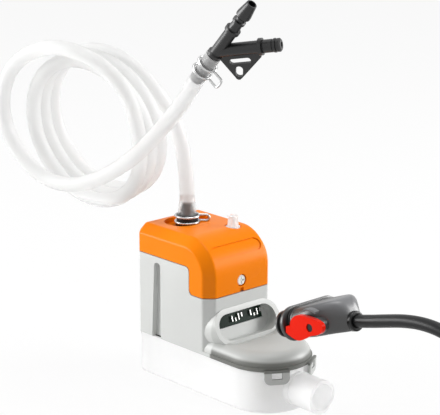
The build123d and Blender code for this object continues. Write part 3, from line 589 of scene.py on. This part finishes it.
# Wire clip on the hose: two rings and one ear to squeeze.
clip = {"along": -16.8, "spacing": 6.0, "ring": 5.35, "wire": 0.75, "ear": 4.4, "turn": radians(60),
        "ringPoints": 16}
clipX = -fittingSide
clipY = fitting["run"].cross(clipX)
earWay = clipX * cos(clip["turn"]) + clipY * sin(clip["turn"])
clipData = bpy.data.curves.new("fittingClip", "CURVE")
clipData.dimensions = "3D"
clipData.bevel_depth = clip["wire"] * mm
clipData.bevel_resolution = 5
t = np.arange(clip["ringPoints"]) * 2 * pi / clip["ringPoints"]
for along in (0, clip["spacing"]):
    ring = clipData.splines.new("NURBS")
    ring.points.add(clip["ringPoints"] - 1)
    ringRadius = clip["ring"] / cos(pi / clip["ringPoints"]) ** 2
    spots = [fitting["origin"] + fitting["run"] * (clip["along"] + along)
             + clipX * ringRadius * cos(a) + clipY * ringRadius * sin(a) for a in t]
    ring.points.foreach_set("co", [n for spot in spots for n in (*(spot * mm), 1)])
    ring.order_u = 3
    ring.use_cyclic_u = True
ear = clipData.splines.new("NURBS")
reach, half = clip["ring"] + clip["ear"], clip["spacing"] / 2
earSpots = [(clip["ring"], -half), (reach, -half), (reach + half, -half), (reach + half, half), (reach, half),
            (clip["ring"], half)]
ear.points.add(len(earSpots) - 1)
spots = [fitting["origin"] + fitting["run"] * (clip["along"] + half + along) + earWay * out
         for out, along in earSpots]
ear.points.foreach_set("co", [n for spot in spots for n in (*(spot * mm), 1)])
ear.order_u = 3
ear.use_endpoint_u = True
clipPiece = bpy.data.objects.new("fittingClip", clipData)
bpy.context.collection.objects.link(clipPiece)
clipPiece.data.materials.append(finishes["steel"])
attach(clipPiece, "pump")
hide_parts("fitting_clip")

# Contact pins in two groups on the board at the back of the socket.
socket = {
    "origin": socketFace,
    "out": plug["out"],
    "above": plug["above"],
    "window": 3.6,
    "reaches": (-7.8, -6.6),
    "pinHalf": 0.42,
    "pinCorner": 0.2,
    # place across, height and shift upwards
    "pins": [(-6, 3.4, 0), (-3.4, 2.2, -0.8), (-0.8, 4.0, 0.4), (1.8, 2.6, 1.0), (9, 3.4, 0.6),
             (11.6, 1.8, -1.0), (14.2, 3.8, 0.2), (16.8, 2.4, 0.9)],
}
pins = []
for y, height, shift in socket["pins"]:
    middle = socket["origin"] + socket["above"] * (socket["window"] + shift)
    rings = []
    for reach in socket["reaches"]:
        pinAt = {"across": plug["across"], "above": socket["above"],
                 "origin": middle + socket["out"] * reach + np.array((0, y, 0))}
        rings.append(roundedRing(pinAt, socket["pinHalf"], height / 2, -height / 2, socket["pinCorner"], 12))
    pins.append(skin(rings))
pinPiece = joined("pins", pins)
sharpen(pinPiece, 30)
pinPiece.data.materials.append(finishes["silver_contact"])
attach(pinPiece, "pump")
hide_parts("board_contacts")
print("contacts")


# Lead, with its route in millimetres.
lead = {
    "diameter": 7.4,
    "length": 1.5,
    "route": [(93.3, 0, 65.3), (107.7, 0, 68.8), (120.0, 0, 72.2), (133.2, 0, 75.7), (146.1, 0, 77.6),
              (159.6, 0, 77.2), (174.0, 1, 73.0), (187.0, 6, 66.0), (198.0, 15, 56.5), (205.0, 28, 46.5),
              (208.5, 43, 37.0), (209.5, 57, 29.5), (207.8, 71, 23.5), (202.5, 84.5, 19.8),
              (194.5, 96.0, 18.8)],
    "coilCenter": (170.0, 61.5),
    "coilRadius": 38.0,
    "lowest": 4.0,
    "pointsPerTurn": 14,
    "turns": 5.34,
}

# The lead comes in on top, winds down on the outside, rolls inwards along the floor and climbs on the
# inside. Two turns that touch have their axes one diameter apart.
coilX, coilY = lead["coilCenter"]
last = lead["route"][-1]
count = round(lead["turns"] * lead["pointsPerTurn"])
turns = np.arange(1, count + 1) / lead["pointsPerTurn"]
step = lead["diameter"]
down = np.clip(1 - turns / 2, 0, 1)
roll = np.sqrt(np.clip(1 - np.clip(3 - turns, 0, 1) ** 2, 0, 1))
climb = np.where(turns > 3, np.sqrt(np.clip(1 - (1 - np.sqrt(np.clip(
    1 - np.clip(4 - turns, 0, 1) ** 2, 0, 1))) ** 2, 0, 1)), 0)
again = np.clip(turns - 4, 0, None)
bend = cos(pi / lead["pointsPerTurn"])
radii = (lead["coilRadius"] + step / 2 - step * roll) / bend ** 2
heights = lead["lowest"] + 2 * step * down + step * climb + step * np.clip(again, 0, 1)
angles = atan2(last[1] - coilY, last[0] - coilX) + 2 * pi * turns
coil = np.c_[coilX + radii * np.cos(angles), coilY + radii * np.sin(angles), heights]
points = list(lead["route"]) + [tuple(point) for point in coil]
leadCurve = cordCurve("power_lead", points, lead["diameter"] / 2, finishes["grey_cable"])
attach(leadCurve, "plug")
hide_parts("power_cable", "cable_coil")
print("lead", round(lineLength(leadCurve), 3))


def backdrop(name, size, height):
    data = bpy.data.meshes.new(name)
    half = size / 2
    corners = [(x * half, y * half, height) for x, y in ((-1, -1), (1, -1), (1, 1), (-1, 1))]
    data.from_pydata(corners, [], [(0, 1, 2, 3)])
    made = bpy.data.objects.new(name, data)
    bpy.context.collection.objects.link(made)
    return made


floor = backdrop("floor", 6.0, 0.0)
floorFinish = bpy.data.materials.new("floor")
floorFinish.use_nodes = True
floorTree = floorFinish.node_tree
floorTree.nodes.clear()
output = floorTree.nodes.new("ShaderNodeOutputMaterial")
path = floorTree.nodes.new("ShaderNodeLightPath")
plain = floorTree.nodes.new("ShaderNodeBsdfDiffuse")
plain.inputs["Color"].default_value = (0.82, 0.82, 0.82, 1)
glow = floorTree.nodes.new("ShaderNodeEmission")
glow.inputs["Color"].default_value = (1, 1, 1, 1)
seen = Signal(floorTree, path.outputs["Is Camera Ray"])
seen = seen.most(Signal(floorTree, path.outputs["Is Glossy Ray"]))
seen = seen.most(Signal(floorTree, path.outputs["Is Transmission Ray"]))
mix = floorTree.nodes.new("ShaderNodeMixShader")
weighted = seen * 0.9
floorTree.links.new(weighted.socket, mix.inputs["Fac"])
floorTree.links.new(plain.outputs[0], mix.inputs[1])
floorTree.links.new(glow.outputs[0], mix.inputs[2])
floorTree.links.new(mix.outputs[0], output.inputs["Surface"])
floor.data.materials.append(floorFinish)

world = bpy.data.worlds.new("studio")
bpy.context.scene.world = world
world.use_nodes = True
worldTree = world.node_tree
worldPath = worldTree.nodes.new("ShaderNodeLightPath")
shown = Signal(worldTree, worldPath.outputs["Is Camera Ray"])
shown = shown.most(Signal(worldTree, worldPath.outputs["Is Glossy Ray"]))
shown = shown.most(Signal(worldTree, worldPath.outputs["Is Transmission Ray"]))
strength = 0.4 + shown * 0.6
backgroundNode = worldTree.nodes["Background"]
backgroundNode.inputs["Color"].default_value = (1, 1, 1, 1)
worldTree.links.new(strength.socket, backgroundNode.inputs["Strength"])


def lamp(name, place, target, size, power):
    data = bpy.data.lights.new(name, "AREA")
    data.shape = "DISK"
    data.size = size
    data.energy = power
    made = bpy.data.objects.new(name, data)
    made.location = place
    aim = Vector(target) - Vector(place)
    made.rotation_euler = aim.to_track_quat("-Z", "Y").to_euler()
    bpy.context.collection.objects.link(made)
    return made


# place, aim, size and power
lamps = {
    "leftLamp": ((-0.75, -0.75, 0.35), (-0.03, 0, 0.06), 0.6, 10),
    "rightLamp": ((0.62, 0.95, 0.40), (0, 0, 0.06), 0.6, 11.5),
    "topLamp": ((0.1, 0.1, 1.4), (0, 0, 0.05), 0.9, 8),
}
for name, setting in lamps.items():
    lamp(name, *setting)
bpy.context.scene.view_settings.view_transform = "Standard"
print("studio")
